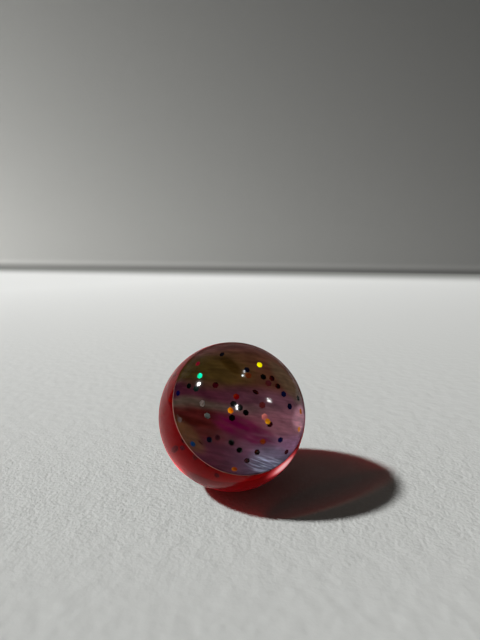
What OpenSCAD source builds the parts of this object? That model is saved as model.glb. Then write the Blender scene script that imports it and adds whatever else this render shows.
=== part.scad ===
// A cast high-bounce ball in two parts: a translucent red body with a flat face, and a
// clear dome on that face, with a thin marbled disc between them and glitter in the rubber.
// The origin is the ball's middle. +Z is up and the ball lies still on its lowest point,
// with the flat face leaning to the front (-Y) and a little to the right.

/* [Ball] */
// Diameter of the ball, taken across the red body
ball_d = 45; // [40:0.5:60]
// How far the clear dome's surface lies inside the red body's
cap_step = 0.35; // [0.1:0.05:0.6]
// Height of the flat face above the ball's middle, square to the face
seam_h = 9.9; // [7:0.1:11]

/* [Resting pose] */
// Lean of the flat face from level, towards the front
seam_lean = 52; // [0:1:90]
// Turn of that lean from straight ahead, towards the right
seam_turn = 20.5; // [-45:0.5:45]

/* [Marbled disc] */
// Thickness of the disc
disc_t = 0.3; // [0.2:0.05:0.5]

/* [Glitter] */
// Width of a six-sided flake across its corners
flake_w = 1.7; // [1:0.1:1.8]
// Thickness of a flake
flake_t = 0.1; // [0.05:0.01:0.15]
// Gap that the rubber leaves round a flake
cast_gap = 0.02; // [0.01:0.005:0.04]
// Least rubber between a flake's lowest point and the disc
float_gap = 0.15; // [0.1:0.01:0.2]
// Number of flakes on the far side of the red body
far_count = 27; // [6:3:36]

/* [Hidden] */

ball_r = ball_d / 2;
cap_r = ball_r - cap_step;
disc_top = seam_h + disc_t;
// The disc's upper edge reaches the ball's own sphere
disc_r = sqrt(pow(ball_r, 2) - pow(disc_top, 2));
// Height of a flat flake's middle above the disc, where it lies lowest
flake_seat = flake_t / 2 + float_gap;

// Where the ball is looked at from, as shares of its radius from its middle
eye_shares = [0.1, -6.23, 2.52];
// How strongly the rubber bends light
rubber_index = 1.5;

// Flakes in the dome, as they show from the eye. Each row holds: across and up from the
// ball's middle, as shares of its radius; rise from the disc to the dome along the line of
// sight, as a share of the way; tip out of the disc's plane, as a share of a right angle;
// and turn of that tip, as a share of a full turn.
navy_shares = [
  [-0.14, 0.84, 0.30, 0.30, 0.12], [0.21, 0.62, 0.45, 0.10, 0.30], [0.72, 0.28, 0.35, 0.08, 0.70],
  [0.80, 0.11, 0.30, 0.05, 0.15], [-0.75, 0.30, 0.00, 0.00, 0.00], [0.66, -0.34, 0.25, 0.12, 0.55],
  [-0.31, -0.33, 0.10, 0.06, 0.85]
];
black_shares = [
  [0.44, 0.52, 0.30, 0.15, 0.40], [0.02, 0.15, 0.30, 0.12, 0.60], [0.11, 0.10, 0.20, 0.15, 0.20],
  [0.00, -0.04, 0.20, 0.10, 0.90], [0.19, 0.03, 0.55, 0.08, 0.35], [-0.01, -0.37, 0.10, 0.05, 0.50],
  [0.10, -0.47, 0.20, 0.10, 0.75], [0.92, 0.22, 0.10, 0.30, 0.28]
];
green_shares = [[-0.60, 0.40, 0.25, 0.08, 0.25], [-0.50, 0.36, 0.15, 0.15, 0.65]];
emerald_shares = [[-0.45, 0.54, 0.50, 0.12, 0.05]];
red_shares = [[-0.48, 0.71, 0.35, 0.22, 0.12], [0.06, 0.25, 0.60, 0.08, 0.55]];
maroon_shares = [
  [0.56, 0.50, 0.40, 0.12, 0.35], [0.64, 0.39, 0.55, 0.10, 0.35], [-0.23, 0.41, 0.40, 0.10, 0.80],
  [0.33, 0.31, 0.15, 0.45, 0.40], [0.52, -0.13, 0.35, 0.20, 0.60], [0.74, -0.50, 0.20, 0.22, 0.12],
  [0.34, -0.50, 0.50, 0.12, 0.15], [0.20, -0.61, 0.40, 0.08, 0.95], [-0.43, -0.37, 0.10, 0.55, 0.35],
  [-0.20, -0.30, 0.05, 0.20, 0.20], [0.51, 0.43, 0.05, 0.10, 0.50], [0.42, 0.13, 0.05, 0.15, 0.70]
];
orange_shares = [
  [-0.02, 0.06, 0.50, 0.15, 0.25], [0.42, -0.36, 0.45, 0.10, 0.60], [0.03, -0.72, 0.00, 0.00, 0.45],
  [0.95, 0.04, 0.05, 0.40, 0.24], [0.92, -0.20, 0.05, 0.30, 0.22], [0.23, 0.54, 0.20, 0.20, 0.50]
];
gold_shares = [
  [0.39, 0.69, 0.45, 0.25, 0.15], [0.49, -0.09, 0.60, 0.15, 0.30]
];
silver_shares = [
  [-0.34, -0.01, 0.15, 0.12, 0.40], [-0.41, 0.16, 0.05, 0.20, 0.10], [-0.72, -0.06, 0.00, 0.00, 0.60],
  [0.45, -0.03, 0.20, 0.15, 0.90]
];
blue_shares = [[-0.535, -0.385, 0.00, 0.00, 0.10]];

// Flakes that show in the red body near its surface. Each row holds: place from the
// ball's middle along X, Y and Z, as shares of its radius, then tip and turn as above.
body_navy_shares = [[-0.17, -0.81, -0.44, 0.12, 0.30], [-0.59, -0.72, -0.13, 0.10, 0.60]];
body_dark_shares = [
  [-0.58, -0.73, -0.03, 0.30, 0.20], [-0.43, -0.80, -0.21, 0.20, 0.70], [0.66, -0.57, -0.38, 0.20, 0.45]
];
body_gold_shares = [[-0.76, -0.42, 0.36, 0.30, 0.40]];

// Far flakes lie on a spiral. From one to the next it turns by this share of a full turn, so
// that no two line up. They lie in shells this far out, as shares of the ball's radius, and
// tip by up to this share of a right angle.
far_turn_share = 0.382;
far_shell_shares = [0.93, 0.66, 0.82, 0.5, 0.74];
far_tip_share = 0.4;
// The far flakes are of this many kinds, one after another along the spiral
far_kinds = 3;

RIGHT_ANGLE = 90;
FULL_TURN = 360;

function unit(v) = v / norm(v);

eye = ball_r * eye_shares;
sight_z = unit(eye);
sight_x = unit(cross([0, 0, 1], sight_z));
sight_y = cross(sight_z, sight_x);
// Square to the flat face, out through the dome
face = [
  sin(seam_lean) * sin(seam_turn),
  -sin(seam_lean) * cos(seam_turn),
  cos(seam_lean)
];

// Line of sight from the eye to a point that shows so far across and up
function sight(row) = unit(ball_r * (row[0] * sight_x + row[1] * sight_y) - eye);

// Where a line of sight first meets the dome
function meets_dome(line) =
  let (near = -eye * line)
  eye + line * (near - sqrt(pow(near, 2) - eye * eye + pow(cap_r, 2)));

// The line of sight inside the rubber, bent at a surface that faces out
function bend(line, out) =
  let (cosine = -line * out, into = 1 / rubber_index)
  into * line + (into * cosine - sqrt(1 - pow(into, 2) * (1 - pow(cosine, 2)))) * out;

// Where a line from a point reaches a height above the ball's middle, square to the face
function reaches(point, line, height) = point + line * (height - point * face) / (line * face);

// Middle of a flake in the dome
function cap_place(row) =
  let (
    top = meets_dome(sight(row)),
    seat = disc_top + flake_seat + flake_w / 2 * sin(RIGHT_ANGLE * row[3]),
    foot = reaches(top, bend(sight(row), top / cap_r), seat)
  )
  foot + row[2] * (top - foot);

// Rows of middle, tip and turn, in length and degrees
function cap_rows(rows) = [
  for (row = rows) [cap_place(row), RIGHT_ANGLE * row[3], FULL_TURN * row[4]]
];

function body_rows(rows) = [
  for (row = rows)
    [ball_r * [row[0], row[1], row[2]], RIGHT_ANGLE * row[3], FULL_TURN * row[4]]
];

// The flakes of one kind on the side away from the eye
function far_rows(kind) = [
  for (i = [kind : far_kinds : far_count - 1])
    let (
      depth = 1 - (i + 1 / 2) / far_count,
      spread = sqrt(1 - pow(depth, 2)),
      turn = FULL_TURN * far_turn_share * i,
      way = spread * (cos(turn) * sight_x + sin(turn) * sight_y) - depth * sight_z
    )
    [
      ball_r * far_shell_shares[i % len(far_shell_shares)] * way,
      RIGHT_ANGLE * far_tip_share * sin(turn),
      turn
    ]
];

cap_all = concat(
  cap_rows(navy_shares), cap_rows(black_shares), cap_rows(green_shares),
  cap_rows(emerald_shares), cap_rows(red_shares), cap_rows(maroon_shares),
  cap_rows(orange_shares), cap_rows(gold_shares), cap_rows(silver_shares),
  cap_rows(blue_shares)
);
body_navy_rows = concat(body_rows(body_navy_shares), far_rows(0));
body_dark_rows = concat(body_rows(body_dark_shares), far_rows(1));
body_gold_rows = concat(body_rows(body_gold_shares), far_rows(2));

$fn = 128;

// Turns a part that is built upright so that its top faces the way the flat face does
module on_face() {
  rotate([seam_lean, 0, seam_turn]) children();
}

// One six-sided flake at each row, larger by a margin all round
module flakes(rows, margin = 0) {
  for (row = rows)
    translate(row[0])
      on_face()
        rotate([0, 0, row[2]])
          rotate([row[1], 0, 0])
            cylinder(d = flake_w + 2 * margin, h = flake_t + 2 * margin, center = true, $fn = 6);
}

// All of the room above a height, as far as the ball reaches
module above(height) {
  translate([0, 0, height]) cylinder(r = ball_d, h = ball_d);
}

module red_body() {
  color("#8e2a34")
    difference() {
      on_face()
        difference() {
          sphere(r = ball_r);
          above(seam_h);
        }
      flakes(concat(body_navy_rows, body_dark_rows, body_gold_rows), cast_gap);
    }
}

module marbled_disc() {
  color("#7a5560")
    on_face() translate([0, 0, seam_h]) cylinder(r = disc_r, h = disc_t);
}

module clear_cap() {
  color("#dfe4e6", 0.4)
    difference() {
      on_face()
        intersection() {
          sphere(r = cap_r);
          above(disc_top);
        }
      flakes(cap_all, cast_gap);
    }
}

module cap_navy() { color("#101a5a") flakes(cap_rows(navy_shares)); }
module cap_black() { color("#0c1210") flakes(cap_rows(black_shares)); }
module cap_green() { color("#16382c") flakes(cap_rows(green_shares)); }
module cap_emerald() { color("#10f08c") flakes(cap_rows(emerald_shares)); }
module cap_red() { color("#a80a0c") flakes(cap_rows(red_shares)); }
module cap_maroon() { color("#4a1210") flakes(cap_rows(maroon_shares)); }
module cap_orange() { color("#d07010") flakes(cap_rows(orange_shares)); }
module cap_gold() { color("#f0e000") flakes(cap_rows(gold_shares)); }
module cap_silver() { color("#9aa0a0") flakes(cap_rows(silver_shares)); }
module cap_blue() { color("#2c5f98") flakes(cap_rows(blue_shares)); }
module body_navy() { color("#161440") flakes(body_navy_rows); }
module body_dark() { color("#2a1416") flakes(body_dark_rows); }
module body_gold() { color("#8a5a20") flakes(body_gold_rows); }

red_body();
marbled_disc();
clear_cap();
cap_navy();
cap_black();
cap_green();
cap_emerald();
cap_red();
cap_maroon();
cap_orange();
cap_gold();
cap_silver();
cap_blue();
body_navy();
body_dark();
body_gold();
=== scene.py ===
"""Looks of a cast high-bounce ball: a clear dome over a marbled disc, on a translucent red body."""

import math

import bmesh
import bpy
from mathutils import Matrix, Vector


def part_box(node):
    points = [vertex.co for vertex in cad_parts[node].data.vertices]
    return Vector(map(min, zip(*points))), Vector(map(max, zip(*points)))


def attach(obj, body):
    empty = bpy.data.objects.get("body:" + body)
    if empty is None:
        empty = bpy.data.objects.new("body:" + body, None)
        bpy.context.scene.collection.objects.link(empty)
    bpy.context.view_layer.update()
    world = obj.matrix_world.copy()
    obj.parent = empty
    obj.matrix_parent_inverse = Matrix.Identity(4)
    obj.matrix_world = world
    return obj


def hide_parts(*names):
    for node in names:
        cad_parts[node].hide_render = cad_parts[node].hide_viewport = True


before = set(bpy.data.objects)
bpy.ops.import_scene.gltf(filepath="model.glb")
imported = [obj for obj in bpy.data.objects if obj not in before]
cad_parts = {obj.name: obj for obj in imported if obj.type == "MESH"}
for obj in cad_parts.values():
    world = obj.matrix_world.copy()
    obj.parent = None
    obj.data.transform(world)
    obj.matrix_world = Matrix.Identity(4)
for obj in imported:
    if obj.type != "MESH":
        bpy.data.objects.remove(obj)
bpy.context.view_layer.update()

MM = 0.001

# The photograph's size, where the ball's middle lies in it and the lens's focal length, in pixels
PHOTO_WIDTH, PHOTO_HEIGHT = 480, 640
BALL_PX = (232.1, 414.8)
FOCAL_PX = 481
# How far the camera looks down, and how far it is from the ball's middle
PITCH = math.radians(11.0)
EYE_DISTANCE = 152.0 * MM
SENSOR = 36.0
CAMERA_TURN = Matrix.Rotation(math.pi / 2 - PITCH, 3, "X")

BALL_R = -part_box("red_body")[0].z
FLOOR_Z = -BALL_R


def face_frame():
    """Axes of the marbled disc, its normal last, and the heights of its two faces along that normal."""
    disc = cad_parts["marbled_disc"].data
    normal = max(disc.polygons, key=lambda face: face.area).normal.copy()
    if normal.z < 0:
        normal.negate()
    across = Vector((0, 0, 1)).cross(normal).normalized()
    up = normal.cross(across)
    heights = [vertex.co.dot(normal) for vertex in disc.vertices]
    return Matrix((across, up, normal)).transposed(), min(heights), max(heights)


def reach(node):
    """How far the node's surface lies from the ball's middle."""
    return max(vertex.co.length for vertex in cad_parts[node].data.vertices)


def sight(place_px):
    """The direction in which the camera sees a place of the photograph."""
    x, y = place_px
    across, up = (x - PHOTO_WIDTH / 2) / FOCAL_PX, (PHOTO_HEIGHT / 2 - y) / FOCAL_PX
    return CAMERA_TURN @ Vector((across, up, -1)).normalized()


EYE = -EYE_DISTANCE * sight(BALL_PX)
FACE, DISC_LOW, DISC_HIGH = face_frame()
# Directions along the disc's face, and straight out of it
ACROSS, UP_FACE, OUT = FACE.col
CAP_R = reach("clear_cap")
# The rubber reaches this far into the disc, so that no air shows between them
BOND = 0.02 * MM
SEGMENTS = 192
ARC_STEPS = 96
# Edges that turn by more than this stay sharp
CREASE = math.radians(40)


def arc(radius, start, end, steps):
    """Points (distance from the axis, height) on a circle about the origin, by angle from the axis."""
    angles = [start + (end - start) * i / steps for i in range(steps + 1)]
    return [(radius * math.sin(a), radius * math.cos(a)) for a in angles]


def turned(name, profile):
    """A closed piece turned about the disc's axis. The profile starts and ends on the axis."""
    mesh = bmesh.new()
    rings = []
    for radius, height in profile[1:-1]:
        ring = []
        for i in range(SEGMENTS):
            angle = 2 * math.pi * i / SEGMENTS
            place = Vector((radius * math.cos(angle), radius * math.sin(angle), height))
            ring.append(mesh.verts.new(FACE @ place))
        rings.append(ring)
    first = mesh.verts.new(FACE @ Vector((0, 0, profile[0][1])))
    last = mesh.verts.new(FACE @ Vector((0, 0, profile[-1][1])))
    for i in range(SEGMENTS):
        j = (i + 1) % SEGMENTS
        mesh.faces.new((first, rings[0][i], rings[0][j]))
        mesh.faces.new((last, rings[-1][j], rings[-1][i]))
        for low, high in zip(rings, rings[1:]):
            mesh.faces.new((low[i], high[i], high[j], low[j]))
    bmesh.ops.recalc_face_normals(mesh, faces=mesh.faces)
    data = bpy.data.meshes.new(name)
    mesh.to_mesh(data)
    mesh.free()
    data.shade_smooth()
    data.set_sharp_from_angle(angle=CREASE)
    piece = bpy.data.objects.new(name, data)
    bpy.context.scene.collection.objects.link(piece)
    return piece


def make_body():
    """The red body: a sphere cut flat just inside the disc."""
    top = DISC_LOW + BOND
    edge = math.acos(top / BALL_R)
    profile = arc(BALL_R, math.pi, edge, ARC_STEPS) + [(0, top)]
    return turned("red_rubber_body", profile)


def make_cap():
    """The clear dome, from just inside the disc to its crown."""
    base = DISC_HIGH - BOND
    edge = math.acos(base / CAP_R)
    profile = [(0, base)] + arc(CAP_R, edge, 0, ARC_STEPS)
    return turned("clear_rubber_dome", profile)


BLACK = (0, 0, 0, 1)
WHITE = (1, 1, 1, 1)


def new_material(name):
    """An empty node material."""
    material = bpy.data.materials.new(name)
    material.use_nodes = True
    material.node_tree.nodes.clear()
    return material


def add(tree, kind, inputs=(), **settings):
    """A node with its settings. Each input is given a value, or joined to a socket."""
    node = tree.nodes.new("ShaderNode" + kind)
    for key, value in settings.items():
        setattr(node, key, value)
    for key, value in dict(inputs).items():
        if isinstance(value, bpy.types.NodeSocket):
            tree.links.new(value, node.inputs[key])
        else:
            node.inputs[key].default_value = value
    return node


def maths(tree, operation, *values):
    """The result of one sum on numbers or sockets."""
    return add(tree, "Math", dict(enumerate(values)), operation=operation).outputs[0]


def reached(tree, way):
    """How far a place lies along a way from the ball's middle, in millimetres."""
    place = add(tree, "TexCoord").outputs["Object"]
    return add(tree, "VectorMath", {0: place, 1: way / MM}, operation="DOT_PRODUCT").outputs["Value"]


def between(tree, value, low, high, low_out=0.0, high_out=1.0):
    """A value carried smoothly from one range to another."""
    return add(tree, "MapRange", {
        "Value": value, 1: low, 2: high, 3: low_out, 4: high_out,
    }, interpolation_type="SMOOTHSTEP").outputs[0]


def along_range(tree, value, low, high):
    """How far a value has come through a range, from nought to one."""
    return add(tree, "MapRange", {"Value": value, 1: low, 2: high}).outputs[0]


def noise(tree, place, scale, detail):
    """Smooth noise about one half."""
    return add(tree, "TexNoise", {"Vector": place, "Scale": scale, "Detail": detail}).outputs[0]


def blend(tree, factor, first, second, mode="MIX"):
    """Two colours mixed by a factor."""
    return add(tree, "MixRGB", {0: factor, 1: first, 2: second}, blend_type=mode).outputs[0]


def dimmed(tree, shade, full):
    """A colour with each of its parts multiplied by one value."""
    grey = add(tree, "CombineXYZ", {0: shade, 1: shade, 2: shade}).outputs[0]
    return blend(tree, 1.0, grey, full, mode="MULTIPLY")


def colour(red, green, blue):
    """A colour as screens give it, from 0 to 255, in the renderer's own terms."""
    def linear(c):
        c /= 255
        return c / 12.92 if c <= 0.04045 else ((c + 0.055) / 1.055) ** 2.4
    return (linear(red), linear(green), linear(blue), 1.0)


def let_lamps_in(tree, surface, kept):
    """A piece that lamps shine through, so that what lies behind it is lit.

    The share of their light that is kept behind it applies once, at its outside.
    """
    path = add(tree, "LightPath").outputs
    passed = maths(tree, "MAXIMUM", path["Is Shadow Ray"], path["Is Diffuse Ray"])
    inside = add(tree, "NewGeometry").outputs["Backfacing"]
    clear = add(tree, "BsdfTransparent", {"Color": blend(tree, inside, kept, WHITE)})
    return add(tree, "MixShader", {0: passed, 1: surface.outputs[0], 2: clear.outputs[0]})


CLEAR_INDEX = 1.5
# Rubber mirrors less from outside than polished glass does
CLEAR_MIRROR = 0.22
# The share of a lamp's light that is left behind the dome
CLEAR_KEPT = (0.025, 0.02, 0.018, 1)
# Below this height above the disc, in millimetres, the dome takes none of that light, because
# its base is no outside
BASE_SOFT = 0.1


def clear_rubber():
    """Clear cast rubber, which bends light like glass and mirrors it weakly."""
    material = new_material("clear_rubber")
    tree = material.node_tree
    bent = add(tree, "BsdfRefraction", {
        "Color": (0.98, 0.98, 0.98, 1), "Roughness": 0.01, "IOR": CLEAR_INDEX,
    })
    mirror = add(tree, "BsdfGlossy", {"Color": WHITE, "Roughness": 0.08})
    inside = add(tree, "NewGeometry").outputs["Backfacing"]
    share = maths(tree, "MULTIPLY", add(tree, "Fresnel", {"IOR": CLEAR_INDEX}).outputs[0],
                  between(tree, inside, 0.0, 1.0, CLEAR_MIRROR, 1.0))
    glass = add(tree, "MixShader", {0: share, 1: bent.outputs[0], 2: mirror.outputs[0]})
    base = between(tree, reached(tree, OUT), DISC_HIGH / MM + BASE_SOFT, DISC_HIGH / MM)
    surface = let_lamps_in(tree, glass, blend(tree, base, CLEAR_KEPT, WHITE))
    add(tree, "OutputMaterial", {"Surface": surface.outputs[0]})
    return material


# How far the red rubber's mirroring is toned down where it is looked at squarely
SKIN_MIRROR = (0.15, 0.15, 0.15, 1)
# How strongly the red rubber takes light of each colour, per metre of the way through it, and
# the density that the renderer splits this into
RED_LOSS = (60.0, 250.0, 235.0)
RED_DENSITY = 260.0
# The share of a lamp's light that is left behind the red rubber
RED_KEPT = (0.3, 0.1, 0.1, 1)
# Where a painted streak of gathered lamp light lies under the red skin, and which way it runs
GATHER_WAY = Vector((0.678, -0.573, -0.460))
GATHER_ALONG = Vector((0.728, 0.611, 0.311))
# Half of its length and width, in millimetres
GATHER_LENGTH, GATHER_WIDTH = 7.4, 4.2
# The painted streak's middle and its soft rim, and how sharply the middle stands out
GATHER_LIGHT = (0.9, 0.5, 0.51, 1)
GATHER_HALO = (0.62, 0.06, 0.07, 1)
GATHER_POWER = 6.0
# The side of the red rubber that faces away from the lamp, where a painted glow stands for its light
# coming out again. Its glow starts at this share of the radius.
FAR_WAY = Vector((0.62, -0.35, -0.70)).normalized()
FAR_LIGHT = (0.035, 0.001, 0.001, 1)
FAR_START = 0.1


def painted_gathered_glow(tree):
    """A painted glow on the red rubber's far side, with a soft painted streak where its round shape gathers
    light.
    """
    beside = GATHER_WAY.cross(GATHER_ALONG)
    far = maths(tree, "ADD", maths(tree, "POWER", reached(tree, GATHER_ALONG / GATHER_LENGTH), 2.0),
                maths(tree, "POWER", reached(tree, beside / GATHER_WIDTH), 2.0))
    near = between(tree, reached(tree, GATHER_WAY), 0.0, BALL_R / MM)
    streak = maths(tree, "MULTIPLY", between(tree, far, 1.0, 0.0), near)
    glow = between(tree, reached(tree, FAR_WAY), FAR_START * BALL_R / MM, BALL_R / MM)
    light = blend(tree, glow, BLACK, FAR_LIGHT)
    light = blend(tree, streak, light, GATHER_HALO)
    return blend(tree, maths(tree, "POWER", streak, GATHER_POWER), light, GATHER_LIGHT)


def red_rubber():
    """Translucent red cast rubber, whose colour deepens with the way through it."""
    material = new_material("red_rubber")
    tree = material.node_tree
    glass = add(tree, "BsdfPrincipled", {
        "Base Color": (0.85, 0.01, 0.02, 1),
        "Roughness": 0.06,
        "IOR": 1.2,
        "Specular IOR Level": 0.1,
        "Specular Tint": SKIN_MIRROR,
        "Transmission Weight": 0.94,
        "Sheen Weight": 1.0,
        "Sheen Roughness": 0.3,
        "Sheen Tint": (1.0, 0.03, 0.05, 1),
        # Painted glow: the far side and the streak shine by emission at fixed places on the skin
        "Emission Color": painted_gathered_glow(tree),
        "Emission Strength": 1.0,
    })
    surface = let_lamps_in(tree, glass, RED_KEPT)
    kept = [1 - loss / RED_DENSITY for loss in RED_LOSS]
    depth = add(tree, "VolumeAbsorption", {"Color": (*kept, 1), "Density": RED_DENSITY})
    add(tree, "OutputMaterial", {"Surface": surface.outputs[0], "Volume": depth.outputs[0]})
    return material


# The film's inks, as screens give them
PLUM = (61, 29, 39)
OXBLOOD = (63, 26, 25)
ASH = (72, 60, 53)
OLIVE = (59, 45, 28)
TAN = (80, 51, 49)
SLATE = (86, 84, 106)
LILAC = (118, 87, 110)
MAUVE = (117, 79, 89)
HEATHER = (88, 59, 68)
BROWN = (74, 46, 38)
# Bands of ink up the film at its left and at its right: from and to, in millimetres, and the ink.
# They blend into each other in between. The right bands are lighter partly as painted light, where
# the dome gathers the lamp's light onto that side.
LEFT_BANDS = (
    (-18, -13, PLUM), (-9, -3.8, OXBLOOD), (-1.4, -1.2, ASH),
    (0.6, 3.4, PLUM), (5.5, 12.2, OLIVE), (15, 18, TAN),
)
RIGHT_BANDS = (
    (-19, -18, SLATE), (-13, -10, LILAC), (-6, -3, MAUVE),
    (-0.5, 1.5, HEATHER), (5, 13, BROWN), (18, 19, TAN),
)
# Where the film turns from its left bands to its right ones, in millimetres
TURN_START, TURN_END = -11.0, 14.0
# Sideways slope of the bands, and how far the swirls carry them
BAND_SLOPE = 0.25
BAND_SWAY = 3.0
# Soft stains that lie on the bands, the lowest first: colour, share, middle across and up the
# face, lean in degrees, and length and width in millimetres
LOW_STAINS = (
    ((58, 46, 22), 0.6, (-6.5, 8.6), -14, 26.0, 11.0),
    ((38, 24, 6), 0.6, (-1.2, 9.6), -55, 9.0, 3.2),
    ((80, 70, 54), 0.55, (12.5, 3.5), -60, 17.0, 6.0),
    ((72, 48, 32), 0.8, (-17.5, -6.0), -50, 17.0, 8.0),
    ((44, 14, 10), 0.5, (-14.4, -3.0), -20, 10.0, 3.2),
)
MAGENTA_STAIN = ((78, 22, 48), 1.0, (-1.0, -6.8), -30, 20.0, 7.0)
# The ice, pearl and rose stains are partly the film's ink and partly painted light, where the dome gathers
# the lamp's light onto the film's lower right and right
ICE_INK_AND_LIGHT = ((84, 86, 102), 0.65, (5.5, -16.8), -28, 18.0, 11.0)
PEARL_INK_AND_LIGHT = ((140, 142, 160), 1.0, (3.4, -17.8), -30, 15.0, 7.0)
ROSE_INK_AND_LIGHT = ((178, 132, 146), 0.75, (15.5, -6.5), -20, 9.0, 9.0)
# The squared distance from a stain's middle, in its lengths and widths, up to which it is full,
# and at which it is gone
STAIN_FULL, STAIN_GONE = 0.05, 0.25
# Noise that is drawn out into swirls: lean in degrees, length and width in millimetres, detail
# and seed
SWIRLS = (-14, 16.0, 9.0, 2.0, 3.7)
# The same for marks, and then the range of the noise that counts and what its two ends give
CURLS = (-30, 7.0, 1.6, 2.0, 8.1), (0.3, 0.65, 0.35, 1.0)
BRUSH = (-34, 5.0, 0.55, 2.0, 1.3), (0.42, 0.68, 0.0, 1.0)
HAIRS = (-15, 6.0, 0.5, 3.0, 5.5), (0.3, 0.7, 0.88, 1.13)
CLOUDS = (-24, 4.0, 1.8, 3.0, 6.4), (0.3, 0.7, 0.76, 1.26)
# The film's own colour is lighter than it shows, because little light reaches its slant
FILM_GAIN = 1.9
# The share of a lamp's light that is left behind the film
FILM_KEPT = (0.22, 0.1, 0.08, 1)
# Half of the film's height that the bands are laid out on, in millimetres
FACE_LIMIT = 20.0
# The paler cut edge, and how squarely to the face a place looks where it starts and is whole
CUT_EDGE = (226, 178, 164)
EDGE_FACING = (0.6, 0.4)


def bands(tree, value, rows):
    """A colour that changes along a value, in bands that blend into each other."""
    ramp = add(tree, "ValToRGB", {0: along_range(tree, value, -FACE_LIMIT, FACE_LIMIT)})
    ramp.color_ramp.interpolation = "EASE"
    points = ramp.color_ramp.elements
    # A new ramp has two ends of its own. The first stays until the bands are in, and is at nought.
    points.remove(points[1])
    for start, end, ink in rows:
        for place in (start, end):
            points.new((place + FACE_LIMIT) / (2 * FACE_LIMIT)).color = colour(*ink)
    points.remove(points[0])
    return ramp.outputs[0]


def turned_places(tree, east, north, lean, length, width):
    """How many lengths and widths a place lies along and beside a line that leans up by an angle."""
    turn = math.radians(lean)
    along = maths(tree, "ADD", maths(tree, "MULTIPLY", east, math.cos(turn) / length),
                  maths(tree, "MULTIPLY", north, math.sin(turn) / length))
    beside = maths(tree, "ADD", maths(tree, "MULTIPLY", east, -math.sin(turn) / width),
                   maths(tree, "MULTIPLY", north, math.cos(turn) / width))
    return along, beside


def grain(tree, face_places, lean, length, width, detail, seed):
    """Noise drawn out into streaks of a length and width, which lean up by an angle."""
    along, beside = turned_places(tree, *face_places, lean, length, width)
    flat = add(tree, "CombineXYZ", {0: along, 1: beside, 2: seed}).outputs[0]
    return noise(tree, flat, 1.0, detail)


def marks(tree, face_places, streaks):
    """A share that drawn-out noise changes from place to place."""
    run, span = streaks
    return between(tree, grain(tree, face_places, *run), *span)


def stained(tree, film, face_places, stain, broken=1.0):
    """The film with one soft oval stain, which marks may break up."""
    rgb, share, centre, lean, length, width = stain
    east, north = [maths(tree, "SUBTRACT", place, middle) for place, middle in zip(face_places, centre)]
    along, beside = turned_places(tree, east, north, lean, length, width)
    far = maths(tree, "ADD", maths(tree, "POWER", along, 2.0), maths(tree, "POWER", beside, 2.0))
    oval = maths(tree, "MULTIPLY", between(tree, far, STAIN_GONE, STAIN_FULL), share)
    return blend(tree, maths(tree, "MULTIPLY", oval, broken), film, colour(*rgb))


def banded_film(tree, face_places):
    """The film's bands of ink, which swirls carry up and down."""
    across, up = face_places
    swirl = grain(tree, face_places, *SWIRLS)
    sway = maths(tree, "MULTIPLY", maths(tree, "SUBTRACT", swirl, 0.5), 2 * BAND_SWAY)
    height = maths(tree, "ADD", maths(tree, "ADD", up, maths(tree, "MULTIPLY", across, BAND_SLOPE)), sway)
    return blend(tree, between(tree, across, TURN_START, TURN_END),
                 bands(tree, height, LEFT_BANDS), bands(tree, height, RIGHT_BANDS))


def streaked(tree, film, face_places):
    """The film with fine hairs and soft clouds drawn along its bands."""
    streaks = maths(tree, "MULTIPLY", marks(tree, face_places, HAIRS), marks(tree, face_places, CLOUDS))
    film = dimmed(tree, maths(tree, "MULTIPLY", streaks, FILM_GAIN), film)
    return add(tree, "HueSaturation", {"Saturation": 1.1, "Value": 1.1, "Color": film}).outputs[0]


def film_colour(tree):
    """Marbled bands under soft stains and brush marks, some partly painted light, with streaks and a pale
    cut edge.
    """
    face_places = [reached(tree, ACROSS), reached(tree, UP_FACE)]
    film = banded_film(tree, face_places)
    for stain in LOW_STAINS:
        film = stained(tree, film, face_places, stain)
    film = stained(tree, film, face_places, MAGENTA_STAIN, marks(tree, face_places, CURLS))
    # Partly painted light, where the dome gathers the lamp's light onto the film
    film = stained(tree, film, face_places, ICE_INK_AND_LIGHT)
    film = stained(tree, film, face_places, PEARL_INK_AND_LIGHT, marks(tree, face_places, BRUSH))
    film = stained(tree, film, face_places, ROSE_INK_AND_LIGHT)
    film = streaked(tree, film, face_places)
    facing = add(tree, "VectorMath", {
        0: add(tree, "TexCoord").outputs["Normal"], 1: OUT,
    }, operation="DOT_PRODUCT").outputs["Value"]
    return blend(tree, between(tree, facing, *EDGE_FACING), film, colour(*CUT_EDGE))


def marbled_film():
    """A thin film with pearly marbled ink."""
    material = new_material("marbled_film")
    tree = material.node_tree
    film = add(tree, "BsdfPrincipled", {
        "Base Color": film_colour(tree),
        "Roughness": 0.45,
        "Specular IOR Level": 0.0,
    })
    surface = let_lamps_in(tree, film, FILM_KEPT)
    add(tree, "OutputMaterial", {"Surface": surface.outputs[0]})
    return material


# Each kind of flake and its colour, as screens give it
FLAKE_COLOURS = {
    "cap_navy": (3, 4, 22),
    "cap_black": (2, 3, 2),
    "cap_green": (4, 26, 21),
    "cap_emerald": (8, 255, 188),
    "cap_red": (107, 0, 1),
    "cap_maroon": (66, 5, 4),
    "cap_orange": (255, 138, 2),
    "cap_gold": (255, 240, 0),
    "cap_silver": (92, 98, 93),
    "cap_blue": (6, 46, 88),
    "body_navy": (10, 12, 64),
    "body_dark": (18, 10, 12),
    "body_gold": (190, 120, 40),
}
EAST, UP = Vector((1, 0, 0)), Vector((0, 0, 1))
FILM_TOP = DISC_HIGH / MM
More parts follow.
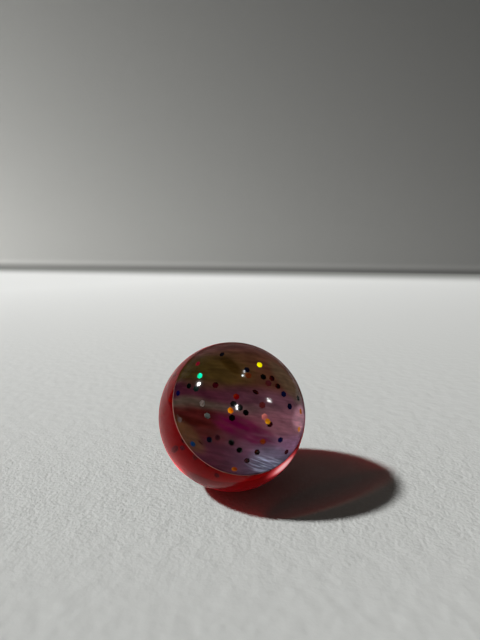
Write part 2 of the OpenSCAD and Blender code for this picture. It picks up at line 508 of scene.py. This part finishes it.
# Colours that some kinds turn to with their place, one after the other: the way, where the change
# starts and ends along it in millimetres, and the colour beyond
SECOND_COLOURS = {
    "cap_silver": (
        (EAST, 0.0, 2.0, (255, 150, 134)),
        (EAST, -6.4, -6.9, (196, 178, 168)),
        (EAST, -10.0, -12.0, (100, 80, 74)),
    ),
    "cap_navy": (
        (EAST, 9.0, 12.0, (2, 6, 46)),
        (EAST, -12.0, -14.0, (5, 6, 60)),
    ),
    "cap_red": ((EAST, -4.0, -6.0, (176, 0, 2)),),
    "cap_maroon": ((OUT, FILM_TOP + 1.6, FILM_TOP + 1.1, (80, 26, 34)),),
    "cap_orange": (
        (UP, -4.0, -6.0, (146, 64, 2)),
        (EAST, 5.0, 7.0, (90, 17, 1)),
        (EAST, 15.0, 17.0, (222, 124, 28)),
        (UP, 8.0, 9.0, (98, 45, 13)),
    ),
    "cap_gold": ((UP, 8.0, 6.0, (176, 116, 12)),),
}
# Foils that are part dark, and that dark colour
MOTTLED = {"cap_maroon": (16, 3, 2), "cap_green": (6, 12, 8)}
# Foils that glow in their own colour, a painted glint for the light they catch, and how strongly
FOILS_WITH_PAINTED_GLINT = {"cap_emerald": 0.65, "cap_orange": 0.2, "cap_gold": 0.6, "cap_red": 0.12}
# How fine the foil's drift of colour and its dark spots are
DRIFT_SCALE, SPOT_SCALE = 450.0, 1100.0
# How the drift carries the brightness and the hue, how the brightness differs from flake to
# flake, and the noise over which a dark spot starts
TONE_DRIFT = (0.35, 0.65, -0.3, 0.3)
HUE_DRIFT = (0.3, 0.7, 0.485, 0.515)
FLAKE_TONE = (0.0, 1.0, 0.8, 1.2)
SPOT_EDGE = (0.46, 0.56)


def foil(name, rgb):
    """Holographic foil: the colour drifts a little from flake to flake and across each."""
    material = new_material("foil_" + name)
    tree = material.node_tree
    place = add(tree, "TexCoord").outputs["Object"]
    drift = noise(tree, place, DRIFT_SCALE, 1.0)
    each = add(tree, "NewGeometry").outputs["Random Per Island"]
    tone = maths(tree, "ADD", between(tree, drift, *TONE_DRIFT), between(tree, each, *FLAKE_TONE))
    base = colour(*rgb)
    if name in MOTTLED:
        spots = noise(tree, place, SPOT_SCALE, 0.0)
        base = blend(tree, between(tree, spots, *SPOT_EDGE), base, colour(*MOTTLED[name]))
    for way, start, end, beyond in SECOND_COLOURS.get(name, ()):
        base = blend(tree, between(tree, reached(tree, way), start, end), base, colour(*beyond))
    hue = add(tree, "HueSaturation", {
        "Hue": between(tree, drift, *HUE_DRIFT),
        "Value": tone,
        "Color": base,
    }).outputs[0]
    shine = add(tree, "BsdfPrincipled", {
        "Base Color": hue,
        "Metallic": 0.05,
        "Roughness": 0.4,
        "Specular IOR Level": 0.0,
        "Emission Strength": FOILS_WITH_PAINTED_GLINT.get(name, 0.0),
    })
    # Painted glint: the foil glows in its own colour
    if name in FOILS_WITH_PAINTED_GLINT:
        tree.links.new(hue, shine.inputs["Emission Color"])
    add(tree, "OutputMaterial", {"Surface": shine.outputs[0]})
    return material


# The stage: half of its width, and where the backdrop stands behind the ball and how high it is
STAGE_HALF = 1.6
BACK_Y = 0.735
BACK_HEIGHT = 1.4
# The backdrop comes nearer to the right by this share
BACK_SLANT = 0.17
# The bend where the floor turns up into the backdrop
SWEEP_R = 0.02
SWEEP_STEPS = 16

# The floor's colour near the camera and far from it, a painted fall of light that is darker near the
# camera, the ends of that change, and the share by which it comes later to the right
FLOOR_NEAR = (0.60, 0.61, 0.59, 1)
FLOOR_FAR = (0.97, 0.98, 0.96, 1)
NEAR_END, FAR_END = -0.05, 0.65
FLOOR_TURN = 0.6
# Painted shade where the floor meets the backdrop: the floor greys over this way before it, to this colour
FOOT_SOFT = 0.14
FOOT_PAINTED_SHADE = (0.26, 0.265, 0.25, 1)

# How fine the floor's pebbles and its wider bumps are, and how deep the relief is
PEBBLE_SCALE, BUMP_SCALE = 850.0, 210.0
RELIEF = 0.32 * MM
# The pebbles fade towards the camera and away from it between these places and heights
NEAR_FADE, NEAR_PEBBLES = (-0.055, -0.015), (0.12, 1.2)
FAR_FADE, FAR_PEBBLES = (0.0, 0.07), (1.0, 0.15)
# The bumps' height beside the pebbles', the share of it far off, and where they fade to that
BUMP_SHARE = 1.35
BUMP_LEFT = 0.35
WIDE_FADE = (0.05, 0.25)

# The backdrop's grey straight behind the ball, the share of it that a metre to the right or up
# leaves, and how much brighter it gets at most to the left. That darkening and brightening is painted shade
# and light.
BACK_GREY = (0.33, 0.33, 0.315, 1)
BACK_FADE = 0.25
BACK_MOST = 2.2
# How much of that grey is paint, and how much of it is light
BACK_PAINT, BACK_GLOW = 0.52, 0.58
# The heights above the floor over which the backdrop's grey starts, and then its light
BACK_RISE = (0.0, 0.004)
GLOW_RISE = (0.002, 0.014)


def floor_relief(tree, place, y):
    """The heights of the floor's fine pebbles and wider bumps."""
    pebbles = noise(tree, place, PEBBLE_SCALE, 2.0)
    crisp = maths(tree, "MULTIPLY", between(tree, y, *NEAR_FADE, *NEAR_PEBBLES),
                  between(tree, y, *FAR_FADE, *FAR_PEBBLES))
    bumps = noise(tree, place, BUMP_SCALE, 1.0)
    soft = between(tree, y, *WIDE_FADE, BUMP_SHARE, BUMP_LEFT * BUMP_SHARE)
    return maths(tree, "ADD", maths(tree, "MULTIPLY", pebbles, crisp), maths(tree, "MULTIPLY", bumps, soft))


def floor_paint_and_light(tree, x, y):
    """The floor's pale paint, lighter away from the camera as painted light, which greys a little before
    the backdrop as painted shade.
    """
    away = maths(tree, "SUBTRACT", y, maths(tree, "MULTIPLY", x, FLOOR_TURN))
    floor = blend(tree, along_range(tree, away, NEAR_END, FAR_END), FLOOR_NEAR, FLOOR_FAR)
    to_back = maths(tree, "ADD", y, maths(tree, "MULTIPLY", x, BACK_SLANT))
    # Painted shade along the foot of the backdrop
    return blend(tree, between(tree, to_back, BACK_Y - FOOT_SOFT, BACK_Y), floor, FOOT_PAINTED_SHADE)


def shaded_back_grey(tree, x, z):
    """The backdrop's grey, with painted shade that darkens it to the right and upwards."""
    fade = maths(tree, "POWER", BACK_FADE, maths(tree, "ADD", x, z))
    return dimmed(tree, maths(tree, "MINIMUM", fade, BACK_MOST), BACK_GREY)


def stage_paint_and_light():
    """A pale pebbled floor with painted light and shade, and above it a softly lit grey."""
    material = new_material("stage_paint_and_light")
    tree = material.node_tree
    place = add(tree, "TexCoord").outputs["Object"]
    x, y, z = add(tree, "SeparateXYZ", {0: place}).outputs
    bump = add(tree, "Bump", {"Strength": 1.0, "Distance": RELIEF, "Height": floor_relief(tree, place, y)})
    back = shaded_back_grey(tree, x, z)
    wall = blend(tree, 1.0 - BACK_PAINT, back, BLACK)
    above = maths(tree, "SUBTRACT", z, FLOOR_Z)
    path = add(tree, "LightPath").outputs
    mirrored = maths(tree, "MAXIMUM", path["Is Glossy Ray"], path["Is Transmission Ray"])
    seen = maths(tree, "MAXIMUM", path["Is Camera Ray"], mirrored)
    glow = maths(tree, "MULTIPLY", between(tree, above, *GLOW_RISE), seen)
    matt = add(tree, "BsdfPrincipled", {
        "Base Color": blend(tree, between(tree, above, *BACK_RISE), floor_paint_and_light(tree, x, y), wall),
        "Roughness": 0.85,
        "Specular IOR Level": 0.0,
        "Normal": bump.outputs[0],
        "Emission Color": back,
        "Emission Strength": maths(tree, "MULTIPLY", glow, BACK_GLOW),
    })
    add(tree, "OutputMaterial", {"Surface": matt.outputs[0]})
    return material


def make_stage():
    """A pale floor that sweeps up into a grey backdrop."""
    bend = [math.pi / 2 * i / SWEEP_STEPS for i in range(SWEEP_STEPS + 1)]
    line = [(-STAGE_HALF, 0.0)]
    line += [(BACK_Y - SWEEP_R + SWEEP_R * math.sin(a), SWEEP_R * (1 - math.cos(a))) for a in bend]
    line += [(BACK_Y, BACK_HEIGHT)]
    corners = []
    for y, z in line:
        for x in (-STAGE_HALF, STAGE_HALF):
            slant = BACK_SLANT * x if y > 0 else 0.0
            corners.append((x, y - slant, FLOOR_Z + z))
    faces = [(i, i + 1, i + 3, i + 2) for i in range(0, 2 * len(line) - 2, 2)]
    data = bpy.data.meshes.new("stage")
    data.from_pydata(corners, [], faces)
    data.shade_smooth()
    data.materials.append(stage_paint_and_light())
    piece = bpy.data.objects.new("stage", data)
    piece.visible_shadow = False
    bpy.context.scene.collection.objects.link(piece)


# The main lamp's azimuth, elevation and spread in degrees, and its level
MAIN_AZIMUTH, MAIN_ELEVATION = -92.0, 45.0
MAIN_SPREAD, MAIN_LEVEL = 4.0, 1.08
# Small lamps that show only as glints: the pixel at which the dome mirrors each, its spread and
# its level. A long glint takes two.
GLINTS = (
    ((236.9, 406.1), 4.2, 0.2),
    ((236.9, 408.5), 4.2, 0.2),
    ((268.1, 400.4), 4.2, 0.2),
    ((270.2, 400.7), 4.2, 0.2),
    ((243.4, 375.1), 3.0, 0.1),
    ((244.1, 371.5), 2.6, 0.07),
)
EVEN_LIGHT = (1.0, 0.9, 0.85, 1)
EVEN_LEVEL = 0.04


def compass_way(azimuth, elevation):
    """The way to a lamp. Azimuth 0 is straight behind the ball, and 90 is to the right."""
    turn, rise = math.radians(azimuth), math.radians(elevation)
    return Vector((math.cos(rise) * math.sin(turn), math.cos(rise) * math.cos(turn), math.sin(rise)))


def mirrored_way(place_px):
    """The way to a lamp that the dome mirrors at a place of the photograph."""
    line = sight(place_px)
    near = -EYE.dot(line)
    hit = EYE + line * (near - math.sqrt(near ** 2 - EYE.length_squared + CAP_R ** 2))
    return line.reflect(hit.normalized())


def make_lamp(name, way, spread, level):
    """A distant soft lamp, which isn't seen through clear pieces.

    A white sheet that faces it is as bright as its level says.
    """
    data = bpy.data.lights.new(name, "SUN")
    data.angle = math.radians(spread)
    data.energy = level * math.pi
    lamp = bpy.data.objects.new(name, data)
    lamp.visible_transmission = False
    lamp.location = way
    lamp.rotation_mode = "QUATERNION"
    lamp.rotation_quaternion = way.to_track_quat("Z", "Y")
    bpy.context.scene.collection.objects.link(lamp)
    return lamp


def make_light():
    """One main lamp from the left, small lamps for glints, and a dim even light all round."""
    make_lamp("main_lamp", compass_way(MAIN_AZIMUTH, MAIN_ELEVATION), MAIN_SPREAD, MAIN_LEVEL)
    for number, (place_px, spread, level) in enumerate(GLINTS):
        lamp = make_lamp(f"glint_lamp_{number}", mirrored_way(place_px), spread, level)
        lamp.visible_diffuse = False
    world = bpy.data.worlds.new("even_light")
    world.use_nodes = True
    sky = world.node_tree.nodes["Background"]
    sky.inputs["Color"].default_value = EVEN_LIGHT
    sky.inputs["Strength"].default_value = EVEN_LEVEL
    bpy.context.scene.world = world


def make_camera():
    """The photograph's camera, placed by where the ball's middle lies in the frame."""
    data = bpy.data.cameras.new("camera")
    # The picture stands upright, so the sensor's width lies along its height
    data.sensor_width = SENSOR
    data.lens = FOCAL_PX * SENSOR / PHOTO_HEIGHT
    data.clip_start = 0.005
    data.clip_end = 20
    camera = bpy.data.objects.new("camera", data)
    camera.location = EYE
    camera.rotation_euler = CAMERA_TURN.to_euler()
    bpy.context.scene.collection.objects.link(camera)
    bpy.context.scene.camera = camera


def coat(piece, material):
    """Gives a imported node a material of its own."""
    piece.data.materials.clear()
    piece.data.materials.append(material)


def dress():
    """Builds the two rubbers and gives every node its material."""
    body = make_body()
    body.data.materials.append(red_rubber())
    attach(body, "root")
    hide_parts("red_body")
    cap = make_cap()
    cap.data.materials.append(clear_rubber())
    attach(cap, "root")
    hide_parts("clear_cap")
    coat(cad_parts["marbled_disc"], marbled_film())
    for node, rgb in FLAKE_COLOURS.items():
        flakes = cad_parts[node]
        coat(flakes, foil(node, rgb))
        flakes.visible_shadow = False


make_camera()
make_stage()
make_light()
dress()
bpy.context.scene.view_settings.view_transform = "Standard"
